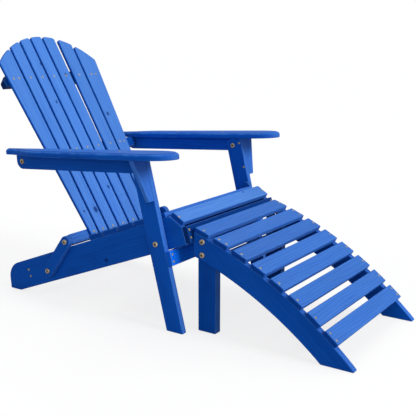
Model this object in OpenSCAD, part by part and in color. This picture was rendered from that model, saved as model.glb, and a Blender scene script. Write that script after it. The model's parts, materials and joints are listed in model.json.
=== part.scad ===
// Folding adirondack chair with a separate footrest, in painted softwood boards.
// +X is the chair's front, +Y the sitter's left and +Z up. The origin lies on the floor,
// under the middle of the chair and footrest together. "near" is the -Y side, "far" the +Y side.

/* [Seat] */
// Distance from the middle to the outer face of each seat rail
seat_half_width = 255; // [250:0.5:258]
// Thickness of the seat rails
rail_thickness = 20; // [18:0.5:22]
// Depth of the seat rails across their grain
rail_depth = 96; // [92:1:98]
// Slope of the seat rails, rising to the front
seat_slope = 21; // [20.5:0.1:21.5]
// Number of flat slats on the seat
seat_slats = 5; // [3:1:5]
// Width of a seat slat
seat_slat_width = 60; // [50:1:62]
// Spacing of the seat slats along the rails
seat_slat_pitch = 68; // [66:0.5:69]
// Thickness of every slat on the seat
seat_slat_thickness = 16; // [12:1:18]
// Width of the forward-tilted slat on the nose
front_slat_width = 48; // [40:1:50]

/* [Legs and arms] */
// Width of a front leg
leg_width = 60; // [56:1:62]
// Thickness of the front legs
leg_thickness = 20; // [18:1:21]
// Backward lean of the front legs
leg_lean = 14.1; // [13.8:0.1:14.4]
// Thickness of the armrest boards
armrest_thickness = 20; // [18:1:24]
// Width of an armrest at the front
armrest_front_width = 96; // [88:1:96]
// Width of an armrest at the rear
armrest_rear_width = 62; // [55:1:70]
// Depth of the rail under an armrest
arm_rail_depth = 45.5; // [44:0.5:46]
// Thickness of the arm rails and the rear links
side_board = 18; // [16:1:18]

/* [Back] */
// Lean of the back from upright
back_lean = 30.7; // [30.4:0.1:31]
// Thickness of the back slats
back_slat_thickness = 12; // [11:1:13]
// Gap between neighbouring back slats
back_slat_gap = 7.5; // [4:0.5:8]
// Radius of the arched top of the back
back_arch_radius = 328; // [310:1:350]
// Height of the arch along the slats, from the lower row of screws
back_height = 745; // [700:1:760]

/* [Footrest] */
// Distance from the middle to the outer faces of the footrest
footrest_half_width = 240; // [225:1:245]
// Radius of the footrest's curved top
footrest_radius = 1293; // [1288:1:1298]
// Depth of the footrest's curved rails
footrest_rail_depth = 71; // [66:1:74]
// Number of footrest slats
footrest_slats = 8; // [6:1:8]
// Width of a footrest slat
footrest_slat_width = 52; // [45:1:56]
// Spacing of the footrest slats along the curve
footrest_slat_pitch = 70; // [68:0.5:70]
// Thickness of the footrest's rails
footrest_board = 22; // [20:1:24]
// Thickness of the footrest's legs
footrest_leg_thickness = 28; // [22:1:30]

/* [Fasteners] */
// Diameter of the pivot bolts
bolt_diameter = 8; // [6:1:8]
// Diameter of the low domed bolt heads
bolt_head_diameter = 17; // [14:1:18]
// Diameter of the screw heads
screw_head_diameter = 7.5; // [6:0.5:8]

/* [Hidden] */
$fn = 64;
paint = [0.20, 0.44, 0.80];
paint_side = [0.08, 0.28, 0.60];
brass = [0.78, 0.62, 0.32];
steel = [0.70, 0.68, 0.62];
dowel_wood = [0.80, 0.65, 0.45];

// Clearances
pivot_gap = 0.6;                        // between boards that turn against each other
bolt_fit = 0.05;                        // radial running fit on the pivot bolts
stop_gap = 0.4;                         // where a moving board stops against another

// Layers across the chair, from the middle outwards
rail_in = seat_half_width - rail_thickness;
side_in = seat_half_width + pivot_gap;
link_out = side_in + side_board;
leg_out = side_in + leg_thickness;
arm_rail_in = leg_out + pivot_gap;
arm_rail_out = arm_rail_in + side_board;
bracket_top_out = leg_out + 62;
bracket_foot_out = leg_out + 24;

// Pivots in the side view, as [x, z]
pivot_leg = [9.1, 268.9];
pivot_arm = [-53.5, 500.8];
pivot_arm_rear = [-525.6, 473.2];
pivot_link = [-454.6, 103.1];
pivot_back = [-369.7, 217];

bolt_r = bolt_diameter / 2;
bore_r = bolt_r + bolt_fit;
head_r = bolt_head_diameter / 2;
head_h = 4.5;
head_gap = 0.4;
socket_r = 3.4;

function unit(a) = [cos(a), sin(a)];
function arc(c, r, from, to, steps = 12) =
    [for (i = [0 : steps]) c + r * unit(from + (to - from) * i / steps)];
function cross2(a, b) = a[0] * b[1] - a[1] * b[0];
function meet(p, d, q, e) = p + d * cross2(q - p, e) / cross2(d, e);
function at_x(line_z0, x) = line_z0 + x * tan(seat_slope);

// Board lying in the side view: an outline of [x, z] points between two distances from the middle
module side_board_shape(outline, from, to) {
    translate([0, to, 0])
        rotate([90, 0, 0])
            linear_extrude(to - from)
                polygon(outline);
}

// Puts a child drawn on the far side also, or only, on the near side
module on_side(near) {
    if (near) mirror([0, 1, 0]) children();
    else children();
}

// Round hole along Y through every board on one side
module cross_bore(at, from, to, r = bore_r) {
    translate([at[0], to + 1, at[1]])
        rotate([90, 0, 0])
            cylinder(r = r, h = to - from + 2);
}

// Domed bolt head standing on a face, pointing to +Y
module bolt_head(at, y) {
    translate([at[0], y, at[1]])
        rotate([-90, 0, 0])
            difference() {
                rotate_extrude()
                    polygon(concat([[0, 0], [head_r, 0]],
                        [for (i = [0 : 8]) [head_r - 2 * (1 - cos(i * 11.25)),
                                            head_h - 2 + 2 * sin(i * 11.25)]],
                        [[0, head_h]]));
                translate([0, 0, head_h - 2.5])
                    cylinder(r = socket_r, h = 3, $fn = 6);
            }
}

// Pivot bolt along Y: shank from one face to another with a domed head at each end
module pivot_bolt(at, from, to) {
    union() {
        bolt_head(at, to);
        translate([at[0], to + 0.5, at[1]])
            rotate([90, 0, 0])
                cylinder(r = bolt_r, h = to - from + 1);
        translate([0, 2 * from, 0])
            mirror([0, 1, 0])
                bolt_head(at, from);
    }
}

// Countersunk screw: head flush with a face at the origin, pointing to -Z
module screw(length = 32) {
    head = screw_head_diameter / 2;
    rotate_extrude($fn = 32)
        polygon([[0, 0.6], [head - 1, 0.6], [head, 0], [1.9, -3], [1.9, 4 - length], [0, -length]]);
}

module screw_hole(length = 32) {
    head = screw_head_diameter / 2;
    rotate_extrude($fn = 32)
        polygon([[0, 1], [head + 0.02, 1], [head + 0.02, 0], [1.92, -3.02],
                 [1.92, 4 - length], [0, -length - 0.02]]);
}

// ---------------------------------------------------------------- seat

rail_top_z0 = 338.5;                    // height of the rails' top line over x = 0
rail_drop = rail_depth / cos(seat_slope);
rail_rear_x = -665;
rear_round = 62;
crest_round = 18;
nose_slope = -31.4;
nose_end_x = 91;
seat_slat_last_x = -23.1;               // rear edge of the crest slat, on the rails' top line
seat_slat_end = seat_half_width - 1;
front_slat_end = seat_half_width - 5;
apron_lean = 18;
apron_height = 50;
apron_thickness = 18;
apron_down = [sin(apron_lean), -cos(apron_lean)];
rail_crest = [46, at_x(rail_top_z0, 46)];
rail_front_top = rail_crest + (nose_end_x - rail_crest[0]) * [1, tan(nose_slope)];
rail_end_height = (rail_front_top[1] - at_x(rail_top_z0, rail_front_top[0]) + rail_drop)
    / (cos(apron_lean) + sin(apron_lean) * tan(seat_slope));

module seat_rail_outline() {
    up_seat = unit(90 + seat_slope);
    up_nose = unit(90 + nose_slope);
    crest_c = rail_crest - crest_round * (up_seat + up_nose) / (1 + up_seat * up_nose);
    rear_x = rail_rear_x + rear_round;
    rear_c = [rear_x, at_x(rail_top_z0, rear_x) - rear_round / cos(seat_slope)];
    polygon(concat(
        [[(rail_drop - rail_top_z0) / tan(seat_slope), 0], [rail_rear_x + 3, 0]],
        arc(rear_c, rear_round, 180, 90 + seat_slope, 10),
        arc(crest_c, crest_round, 90 + seat_slope, 90 + nose_slope, 8),
        [rail_front_top, rail_front_top + rail_end_height * apron_down]));
}

function on_rail(x, up = 0) = [x, at_x(rail_top_z0, x)] + up * unit(90 + seat_slope);
function slat_rear_x(i) = seat_slat_last_x - (seat_slats - 1 - i) * seat_slat_pitch * cos(seat_slope);
function slat_screw_x(i) =
    slat_rear_x(i) + (seat_slat_width / 2 - (i == seat_slats - 1 ? crest_screw_back : 0)) * cos(seat_slope);

module seat_rail(near) {
    color(paint_side)
        on_side(near)
            difference() {
                translate([0, seat_half_width, 0])
                    rotate([90, 0, 0])
                        linear_extrude(rail_thickness) seat_rail_outline();
                cross_bore(pivot_leg, rail_in, seat_half_width);
                cross_bore(pivot_link, rail_in, seat_half_width);
                seat_fixings() screw_hole();
            }
}

// Places a screw at every fixing on the far side of the seat
module seat_fixings() {
    for (i = [0 : seat_slats - 1]) {
        p = on_rail(slat_screw_x(i), seat_slat_thickness);
        translate([p[0], rail_screw_y, p[1]]) rotate([0, -seat_slope, 0]) children();
    }
    translate([front_slat_mid[0], rail_screw_y, front_slat_mid[1]])
        rotate([0, -nose_slope, 0]) children();
    for (d = [12, 36]) {
        p = apron_face + d * apron_down;
        translate([p[0], rail_screw_y, p[1]]) rotate([0, 90 - apron_lean, 0]) children();
    }
    for (z = [stretcher_mid_z + 11, stretcher_mid_z - 11])
        translate([stretcher_screw_x(z), seat_half_width, z]) rotate([-90, 0, 0]) children();
}

rail_screw_y = seat_half_width - rail_thickness / 2;
crest_screw_back = 14;                  // the crest slat's screws clear the rests
front_slat_rear = rail_crest + unit(nose_slope) + seat_slat_thickness * unit(90 + nose_slope);
front_slat_mid = front_slat_rear + front_slat_width / 2 * unit(nose_slope);
apron_face = rail_front_top + apron_thickness * unit(apron_lean);

module seat_slat(i) {
    x0 = slat_rear_x(i);
    color(paint)
        difference() {
            translate([x0, -seat_slat_end, at_x(rail_top_z0, x0)])
                rotate([0, -seat_slope, 0])
                    cube([seat_slat_width, 2 * seat_slat_end, seat_slat_thickness]);
            both_sides() seat_fixings() screw_hole();
        }
}

module both_sides() {
    children();
    mirror([0, 1, 0]) children();
}

module front_slat() {
    color(paint)
        difference() {
            translate([front_slat_rear[0], -front_slat_end, front_slat_rear[1]])
                rotate([0, -nose_slope, 0])
                    translate([0, 0, -seat_slat_thickness])
                        cube([front_slat_width, 2 * front_slat_end, seat_slat_thickness]);
            both_sides() seat_fixings() screw_hole();
        }
}

module apron() {
    color(paint)
        difference() {
            translate([rail_front_top[0], -seat_slat_end, rail_front_top[1]])
                rotate([0, -apron_lean, 0])
                    translate([0, 0, -apron_height])
                        cube([apron_thickness, 2 * seat_slat_end, apron_height]);
            both_sides() seat_fixings() screw_hole();
        }
}

// Stretcher between the rear ends of the rails: its middle height, then thickness and height
stretcher_mid_z = 72;
rear_stretcher_size = [18, 64];
function stretcher_screw_x(z) = -564 - (z - stretcher_mid_z) * tan(seat_slope);

module rear_stretcher() {
    color(paint_side)
        difference() {
            translate([stretcher_screw_x(stretcher_mid_z), -rail_in, stretcher_mid_z])
                rotate([0, -seat_slope, 0])
                    translate([-rear_stretcher_size[0] / 2, 0, -rear_stretcher_size[1] / 2])
                        cube([rear_stretcher_size[0], 2 * rail_in, rear_stretcher_size[1]]);
            both_sides() seat_fixings() screw_hole();
        }
}

// Half-round rests on the ends of the seat's crest slat
rest_radius = 17;
rest_thickness = 15;
module rest_blocks() {
    p = on_rail(20, seat_slat_thickness);
    color(paint_side)
        both_sides()
            translate([p[0], seat_slat_end - 6, p[1]])
                rotate([90, 0, 0])
                    rotate(seat_slope)
                        linear_extrude(rest_thickness)
                            polygon(concat([[rest_radius, 0]],
                                arc([0, 2], rest_radius, 0, 180, 16), [[-rest_radius, 0]]));
}

module seat_screws() {
    color(brass) both_sides() seat_fixings() screw();
}

// Bolts that the front legs and the rear links turn on
module leg_bolts() {
    color(steel)
        both_sides() pivot_bolt(pivot_leg, rail_in, leg_out + head_gap);
}

module link_bolts() {
    color(steel)
        both_sides() pivot_bolt(pivot_link, rail_in, link_out + head_gap);
}

// ---------------------------------------------------------------- front legs

leg_up = unit(90 + leg_lean);
leg_front = unit(leg_lean);
leg_foot_x = pivot_leg[0] + pivot_leg[1] * tan(leg_lean);
arm_under = 25;                          // armrest underside over the pivot at the leg
arm_slope = 3.95;                        // rise of the armrests to the front
arm_along = unit(arm_slope);
arm_up = unit(90 + arm_slope);

function leg_point(up, front) = pivot_leg + up * leg_up + front * leg_front;
leg_top = (pivot_arm - pivot_leg) * leg_up;     // pivot height along the leg
bracket_thickness = 15;
bracket_length = 136;

module armrest_underside(gap) {
    o = pivot_arm + (arm_under - gap) * arm_up;
    translate(o) rotate(arm_slope) translate([-700, 0]) square([1200, 200]);
}

module leg_outline() {
    half = leg_width / 2;
    half_level = half / cos(leg_lean);
    under = pivot_arm + (arm_under - stop_gap) * arm_up;
    polygon(concat(
        [leg_point(leg_top - 16, -half), [leg_foot_x - half_level, 0], [leg_foot_x + half_level, 0],
         meet(leg_point(0, half), leg_up, under, arm_along)],
        arc(pivot_arm, arm_under - stop_gap, arm_slope + 90, leg_lean + 192, 14)));
}

module leg(near) {
    color(paint)
        on_side(near)
            difference() {
                translate([0, leg_out, 0])
                    rotate([90, 0, 0])
                        linear_extrude(leg_thickness) leg_outline();
                cross_bore(pivot_leg, side_in, leg_out);
                cross_bore(pivot_arm, side_in, leg_out);
                leg_fixings() screw_hole();
            }
}

cross_board_thickness = 18;
cross_board_height = 46;
cross_board_top = -25.6;                 // below the leg pivot, measured along the leg

module leg_fixings() {
    for (d = [12, 34]) {
        p = leg_point(cross_board_top - d, leg_width / 2 + cross_board_thickness);
        translate([p[0], side_in + leg_thickness / 2, p[1]]) rotate([0, 90 - leg_lean, 0]) children();
    }
    for (d = [4, -82]) {
        p = leg_point(leg_top + d, leg_width / 2 - bracket_thickness / 2);
        translate([p[0], side_in, p[1]]) rotate([90, 0, 0]) children();
    }
}

module cross_board() {
    color(paint)
        difference() {
            side_board_shape([
                leg_point(cross_board_top, leg_width / 2),
                leg_point(cross_board_top, leg_width / 2 + cross_board_thickness),
                leg_point(cross_board_top - cross_board_height, leg_width / 2 + cross_board_thickness),
                leg_point(cross_board_top - cross_board_height, leg_width / 2)],
                -leg_out, leg_out);
            both_sides() leg_fixings() screw_hole();
        }
}

// Tapered gusset standing out of the leg's side, under the armrest
module arm_bracket(near) {
    front = leg_width / 2;
    foot = leg_top + arm_under - bracket_length;
    color(paint)
        on_side(near)
            difference() {
                side_board_shape([
                    leg_point(foot, front - bracket_thickness), leg_point(foot, front),
                    leg_point(leg_top + 60, front), leg_point(leg_top + 60, front - bracket_thickness)],
                    leg_out, bracket_top_out + 20);
                side_view_cut() armrest_underside(stop_gap);
                bracket_taper();
                leg_fixings() screw_hole();
            }
}

module side_view_cut() {
    translate([0, 500, 0]) rotate([90, 0, 0]) linear_extrude(1000) children();
}

// Cuts the bracket's sloping outer edge, in the plane of the leg's front face
module bracket_taper() {
    p = leg_point(leg_top + arm_under - bracket_length, 0);
    translate([p[0], 0, p[1]])
        rotate([0, -leg_lean, 0])
            rotate([90, 0, 90])
                translate([0, 0, -100])
                    linear_extrude(200)
                        polygon([[bracket_foot_out, -20], [bracket_foot_out, 0],
                                 [bracket_top_out, bracket_length], [bracket_top_out + 8, bracket_length + 30],
                                 [500, bracket_length + 30], [500, -20]]);
}

module leg_screws() {
    color(brass) both_sides() leg_fixings() screw();
}

// Bolts at the top of the legs, with their heads on the legs' inner faces
module arm_bolts() {
    color(steel)
        both_sides()
            union() {
                translate([0, 2 * side_in, 0]) mirror([0, 1, 0]) bolt_head(pivot_arm, side_in);
                translate([pivot_arm[0], leg_out, pivot_arm[1]])
                    rotate([90, 0, 0])
                        cylinder(r = bolt_r, h = leg_thickness + 0.5);
            }
}

// ---------------------------------------------------------------- arms

function arm_point(along, up) = pivot_arm + along * arm_along + up * arm_up;
arm_length = norm(pivot_arm - pivot_arm_rear);
arm_rail_rear = -arm_length - 27;
armrest_rear = -563;
armrest_front = 164;
armrest_mid_y = leg_out + 20.5;
armrest_nose = 90;                       // length of the rounded front end
armrest_taper = 180;                     // length over which the outer edge draws in to the rear tip
armrest_tip_out = -8;                    // where the outer edge ends, out from the board's middle line
armrest_tip_r = 14;
armrest_corner_r = 7;

module arm_rail(near) {
    bottom = arm_under - arm_rail_depth;
    front_r = 17.6;
    outline = concat(
        arc([0, 0], front_r, 0, -80, 8),
        [[-14, bottom], [arm_rail_rear + 26, bottom]],
        arc([arm_rail_rear + 26, bottom + 26], 26, -90, -180, 8),
        [[arm_rail_rear, arm_under], [front_r - 6, arm_under]]);
    color(paint_side)
        on_side(near)
            difference() {
                translate([pivot_arm[0], arm_rail_out, pivot_arm[1]])
                    rotate([90, 0, 0])
                        rotate(arm_slope)
                            linear_extrude(side_board) polygon(outline);
                cross_bore(pivot_arm_rear, arm_rail_in, arm_rail_out);
                arm_fixings() screw_hole(40);
            }
}

module arm_fixings() {
    for (x = [-60, -260, -460]) {
        p = arm_point(x, arm_under + armrest_thickness);
        translate([p[0], arm_rail_in + side_board / 2, p[1]]) rotate([0, -arm_slope, 0]) children();
    }
}

module armrest_plan() {
    nose_x = armrest_front - armrest_nose;
    half_f = armrest_front_width / 2;
    half_r = armrest_rear_width / 2;
    tip_x = armrest_rear + armrest_tip_r;
    full = half_r + (half_f - half_r) * armrest_taper / (nose_x - tip_x);
    polygon(concat(
        [for (a = [-90 : 7.5 : 90]) [nose_x + armrest_nose * cos(a), half_f * sin(a)]],
        [for (t = [1 : -0.1 : 0.05])
            [tip_x + armrest_taper * t, armrest_tip_out + (full - armrest_tip_out) * (1 - cos(180 * t)) / 2]],
        arc([tip_x, armrest_tip_out - armrest_tip_r], armrest_tip_r, 90, 180, 5),
        arc([armrest_rear + armrest_corner_r, armrest_corner_r - half_r], armrest_corner_r, 180, 270, 4)));
}

module armrest(near) {
    color(paint)
        on_side(near)
            difference() {
                translate([pivot_arm[0], armrest_mid_y, pivot_arm[1]])
                    rotate([0, -arm_slope, 0])
                        translate([0, 0, arm_under])
                            linear_extrude(armrest_thickness) armrest_plan();
                arm_fixings() screw_hole(40);
            }
}

// Screws down through one armrest into its rail
module arm_screws(near) {
    color(brass) on_side(near) arm_fixings() screw(40);
}

// Bolt at the rear of one arm, through the arm rail into the middle crossbar
crossbar_bolt_depth = 55;
module arm_rear_bolt(near) {
    color(steel)
        on_side(near)
            union() {
                bolt_head(pivot_arm_rear, arm_rail_out);
                translate([pivot_arm_rear[0], arm_rail_out + 0.5, pivot_arm_rear[1]])
                    rotate([90, 0, 0])
                        cylinder(r = bolt_r, h = side_board + crossbar_bolt_depth);
            }
}

// ---------------------------------------------------------------- links

link_head_r = 19;
link_foot_r = 20;
module link(near) {
    dir = pivot_back - pivot_link;
    a = atan2(dir[1], dir[0]);
    color(paint_side)
        on_side(near)
            difference() {
                side_board_shape(concat(
                    arc(pivot_back, link_head_r, a - 90, a + 90, 16),
                    arc(pivot_link, link_foot_r, a + 90, a + 270, 16)),
                    side_in, link_out);
                cross_bore(pivot_link, side_in, link_out);
                cross_bore(pivot_back, side_in, link_out);
            }
}

// ---------------------------------------------------------------- back

back_up = unit(90 + back_lean);
back_front = unit(back_lean);
back_origin = [-349.4, 231.3];           // lower row of screws, on the front of the slats
back_foot = -9;
crossbar_thickness = 23;

// Edges of the fan of slats: places across the chair at the lower screws, then their rates up the slats
fan_foot = [-170.4, -132.4, -83.1, -29.1, 27.3, 82.6, 146.8, 189.3];
fan_rate = [-0.09, -0.031, -0.02, -0.018, -0.014, 0, 0.012, 0.083];
fan_opening = [0, 0, 0, 0, 0, 0.0118, 0, 0];    // growth of each gap up the slats
back_slats = len(fan_foot) - 1;
function fan(edge, s) = fan_foot[edge] + fan_rate[edge] * s;

// Turns a drawing made in the plane of the back, as [y, along], into place behind the front face
module in_back_plane(behind, thickness) {
    translate([back_origin[0], 0, back_origin[1]])
        rotate([0, -back_lean, 0])
            translate([-behind - thickness, 0, 0])
                rotate([90, 0, 90])
                    linear_extrude(thickness) children();
}

function is_inner(edge) = edge > 0 && edge < back_slats;
function slat_edge(i, s, side) =
    let (edge = side < 0 ? i : i + 1)
    fan(edge, s) - side * (is_inner(edge) ? (back_slat_gap + fan_opening[edge] * s) / 2 : 0);

// One slat's outline: the fan's lines cut by the arched top and the shoulders below it
module slat_outline(i) {
    top = back_height + 20;
    intersection() {
        polygon([[slat_edge(i, back_foot, -1), back_foot], [slat_edge(i, back_foot, 1), back_foot],
                 [slat_edge(i, top, 1), top], [slat_edge(i, top, -1), top]]);
        union() {
            translate([arch_offset, back_height - back_arch_radius]) circle(r = back_arch_radius, $fn = 128);
            translate([-300, back_foot]) square([600, back_height - back_shoulder - back_foot]);
        }
    }
}

module back_slat(i) {
    color(paint)
        difference() {
            in_back_plane(0, back_slat_thickness)
                union() {
                    offset(r = slat_corner) offset(delta = -slat_corner) slat_outline(i);
                    intersection() {
                        slat_outline(i);
                        translate([-300, back_foot]) square([600, crossbars[1]]);
                    }
                }
            back_fixings([i]) screw_hole();
        }
}

arch_offset = 6;                         // middle of the arch, out from the chair's middle
slat_corner = 9;                         // rounding of each slat's top corners
crossbars = [0, 300, 584];               // heights of the three crossbars along the slats
back_shoulder = 105;                     // drop from the top of the arch to where it meets the sides
function slat_middle(i, s) = (slat_edge(i, s, -1) + slat_edge(i, s, 1)) / 2;

module back_fixings(slats = [0 : back_slats - 1], rows = crossbars) {
    outer = [0, back_slats - 1];
    for (i = slats)
        for (s = rows) {
            pair = (i == outer[0] || i == outer[1]) && s > 0;
            for (d = pair ? [-12, 12] : [0])
                translate([back_origin[0], 0, back_origin[1]])
                    rotate([0, -back_lean, 0])
                        translate([0, slat_middle(i, s) + d, s])
                            rotate([0, 90, 0]) children();
        }
}

module crossbar(height, low, high, half_length, chamfer) {
    in_back_plane(back_slat_thickness, crossbar_thickness)
        polygon([[-half_length, height + low], [half_length, height + low],
                 [half_length, height + high - chamfer], [half_length - chamfer, height + high],
                 [chamfer - half_length, height + high], [-half_length, height + high - chamfer]]);
}

module top_crossbar() {
    color(paint)
        difference() {
            crossbar(crossbars[2], -22, 22, 236, 24);
            back_fixings(rows = [crossbars[2]]) screw_hole();
        }
}

// The middle crossbar's ends are rounded off where they turn under the armrests
crossbar_shoulder = 260;
crossbar_end_r = 19;
module middle_crossbar_ends() {
    translate([pivot_arm_rear[0], 0, pivot_arm_rear[1]])
        rotate([90, 0, 0])
            union() {
                cylinder(r = 60, h = 2 * crossbar_shoulder, center = true);
                cylinder(r = crossbar_end_r, h = 2 * arm_rail_in, center = true);
            }
}

module middle_crossbar() {
    color(paint)
        difference() {
            intersection() {
                crossbar(crossbars[1], -20, 16, arm_rail_in - pivot_gap, 0);
                middle_crossbar_ends();
            }
            back_fixings(rows = [crossbars[1]]) screw_hole();
            both_sides() cross_bore(pivot_arm_rear, arm_rail_in - crossbar_bolt_depth - 1, arm_rail_in);
        }
}

module lower_crossbar() {
    color(paint)
        difference() {
            crossbar(crossbars[0], -18.8, 17, side_in - pivot_gap, 0);
            back_fixings(rows = [crossbars[0]]) screw_hole();
            both_sides() cross_bore(pivot_back, side_in - crossbar_bolt_depth - 1, side_in);
        }
}

module back_screws() {
    color(brass) back_fixings() screw();
}

// Bolts that join the links to the lower crossbar
module lower_bolts() {
    color(steel)
        both_sides()
            union() {
                bolt_head(pivot_back, link_out + head_gap);
                translate([pivot_back[0], link_out + head_gap + 0.5, pivot_back[1]])
                    rotate([90, 0, 0])
                        cylinder(r = bolt_r, h = side_board + crossbar_bolt_depth);
            }
}

// ---------------------------------------------------------------- footrest

footrest_centre = [-250.7, -905.6];
footrest_slat_thickness = 15;
footrest_rail_top = footrest_radius - footrest_slat_thickness;
footrest_rear_x = 123.7;
footrest_first_angle = 90 - 18.2;
footrest_in = footrest_half_width - footrest_board;
footrest_leg_width = 63;
footrest_leg_x = 124;
function footrest_slat_angle(i) = footrest_first_angle - i * footrest_slat_pitch / footrest_radius * 180 / PI;

module footrest_side(gap) {
    intersection() {
        translate(footrest_centre)
            difference() {
                circle(r = footrest_rail_top - gap, $fn = 512);
                children();
            }
        translate([footrest_rear_x, 0]) square([700, 500]);
    }
}

module footrest_rail(near) {
    color(paint_side)
        on_side(near)
            difference() {
                translate([0, footrest_half_width, 0])
                    rotate([90, 0, 0])
                        linear_extrude(footrest_board)
                            footrest_side(0) circle(r = footrest_rail_top - footrest_rail_depth, $fn = 512);
                for (z = footrest_bolt_z)
                    cross_bore([footrest_bolt_x, z], footrest_in, footrest_half_width);
                footrest_fixings() screw_hole();
            }
}

footrest_bolt_x = 154.5;
footrest_bolt_z = [290, 250];

module footrest_fixings(slats = [0 : footrest_slats - 1]) {
    for (i = slats) {
        a = footrest_slat_angle(i);
        pair = i == 1 || i == footrest_slats - 1;
        for (d = pair ? [-13, 13] : [0]) {
            p = footrest_centre + (footrest_radius - 0.1) * unit(a) + d * unit(a - 90);
            translate([p[0], footrest_half_width - footrest_board / 2, p[1]])
                rotate([0, 90 - a, 0]) children();
        }
    }
}

module footrest_slat(i) {
    a = footrest_slat_angle(i);
    color(paint)
        difference() {
            translate([footrest_centre[0], 0, footrest_centre[1]])
                rotate([0, 90 - a, 0])
                    translate([-footrest_slat_width / 2, -footrest_half_width, footrest_rail_top])
                        cube([footrest_slat_width, 2 * footrest_half_width, footrest_slat_thickness]);
            both_sides() footrest_fixings([i]) screw_hole();
        }
}

module footrest_leg(near) {
    color(paint)
        on_side(near)
            difference() {
                translate([0, footrest_in, 0])
                    rotate([90, 0, 0])
                        linear_extrude(footrest_leg_thickness)
                            intersection() {
                                footrest_side(3) circle(r = 10);
                                translate([footrest_leg_x, 0]) square([footrest_leg_width, 400]);
                            }
                for (z = footrest_bolt_z)
                    cross_bore([footrest_bolt_x, z], footrest_leg_in, footrest_in);
                footrest_dowel_places() dowel(bolt_fit);
            }
}

footrest_leg_in = footrest_in - footrest_leg_thickness;
stretcher_z = 205;
stretcher_height = 45;
stretcher_thickness = 18;
stretcher_x = footrest_leg_x + 32;
dowel_r = 4;
dowel_length = 36;

// Places of the hidden dowels, on the inner face of the far leg
module footrest_dowel_places() {
    for (d = [-12, 12])
        translate([stretcher_x, footrest_leg_in, stretcher_z + d]) rotate([90, 0, 0]) children();
}

module dowel(extra) {
    cylinder(r = dowel_r + extra, h = dowel_length + 2 * extra, center = true, $fn = 32);
}

module footrest_stretcher() {
    color(paint)
        difference() {
            translate([stretcher_x - stretcher_thickness / 2, -footrest_leg_in,
                       stretcher_z - stretcher_height / 2])
                cube([stretcher_thickness, 2 * footrest_leg_in, stretcher_height]);
            both_sides() footrest_dowel_places() dowel(bolt_fit);
        }
}

// Dowels that hold the stretcher's ends in the legs
module footrest_dowels() {
    color(dowel_wood) both_sides() footrest_dowel_places() dowel(0);
}

module footrest_screws() {
    color(brass) both_sides() footrest_fixings() screw();
}

module footrest_bolts() {
    color(steel)
        both_sides()
            for (z = footrest_bolt_z)
                pivot_bolt([footrest_bolt_x, z], footrest_leg_in, footrest_half_width);
}

// ---------------------------------------------------------------- assembly

function numbered(name, count) = [for (i = [1 : count]) str(name, i)];

// The working frame has x = 0 near the seat's front, so everything shifts to the middle of the set
footrest_tip_x = footrest_centre[0] + sqrt(pow(footrest_rail_top, 2) - pow(footrest_centre[1], 2));
back_top_x = back_origin[0] - back_height * sin(back_lean) - back_slat_thickness * cos(back_lean);
module placed() {
    translate([-(footrest_tip_x + back_top_x) / 2, 0, 0]) children();
}

placed() seat_rail(true);  // seat_rail_near
placed() seat_rail(false);  // seat_rail_far
for (i = [1 : seat_slats])
    placed() seat_slat(i - 1);
placed() front_slat();
placed() apron();
placed() rear_stretcher();
placed() rest_blocks();
placed() seat_screws();
placed() leg_bolts();
placed() link_bolts();
placed() leg(true);  // leg_near
placed() leg(false);  // leg_far
placed() cross_board();
placed() arm_bracket(true);  // arm_bracket_near
placed() arm_bracket(false);  // arm_bracket_far
placed() leg_screws();
placed() arm_bolts();
placed() armrest(true);  // armrest_near
placed() arm_rail(true);  // arm_rail_near
placed() arm_screws(true);  // arm_screws_near
placed() arm_rear_bolt(true);  // arm_rear_bolt_near
placed() armrest(false);  // armrest_far
placed() arm_rail(false);  // arm_rail_far
placed() arm_screws(false);  // arm_screws_far
placed() arm_rear_bolt(false);  // arm_rear_bolt_far
placed() link(true);  // link_near
placed() link(false);  // link_far
for (i = [1 : back_slats])
    placed() back_slat(i - 1);
placed() top_crossbar();
placed() middle_crossbar();
placed() lower_crossbar();
placed() back_screws();
placed() lower_bolts();
placed() footrest_rail(true);  // footrest_rail_near
placed() footrest_rail(false);  // footrest_rail_far
for (i = [1 : footrest_slats])
    placed() footrest_slat(i - 1);
placed() footrest_leg(true);  // footrest_leg_near
placed() footrest_leg(false);  // footrest_leg_far
placed() footrest_stretcher();
placed() footrest_dowels();
placed() footrest_screws();
placed() footrest_bolts();
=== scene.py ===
import json
import math
import random

import bmesh
import bpy
from mathutils import Matrix, Vector

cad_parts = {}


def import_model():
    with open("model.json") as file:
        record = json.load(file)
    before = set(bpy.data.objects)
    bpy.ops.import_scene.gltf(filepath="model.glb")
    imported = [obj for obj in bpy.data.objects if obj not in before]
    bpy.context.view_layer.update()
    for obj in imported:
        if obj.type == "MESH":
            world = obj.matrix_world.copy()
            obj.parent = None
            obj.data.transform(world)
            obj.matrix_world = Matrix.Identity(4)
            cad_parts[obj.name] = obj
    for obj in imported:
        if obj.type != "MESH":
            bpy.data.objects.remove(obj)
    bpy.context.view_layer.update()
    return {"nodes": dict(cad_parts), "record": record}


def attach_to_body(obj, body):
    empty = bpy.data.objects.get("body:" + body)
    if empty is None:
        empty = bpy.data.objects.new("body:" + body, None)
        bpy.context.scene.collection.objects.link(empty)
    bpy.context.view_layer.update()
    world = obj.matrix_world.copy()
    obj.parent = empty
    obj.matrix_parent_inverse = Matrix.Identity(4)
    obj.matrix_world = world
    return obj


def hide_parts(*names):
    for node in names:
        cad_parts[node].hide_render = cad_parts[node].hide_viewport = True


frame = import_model()

X, Z = Vector((1, 0, 0)), Vector((0, 0, 1))
MM = 0.001
random.seed(7)


# ---------------------------------------------------------------- node helpers

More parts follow.
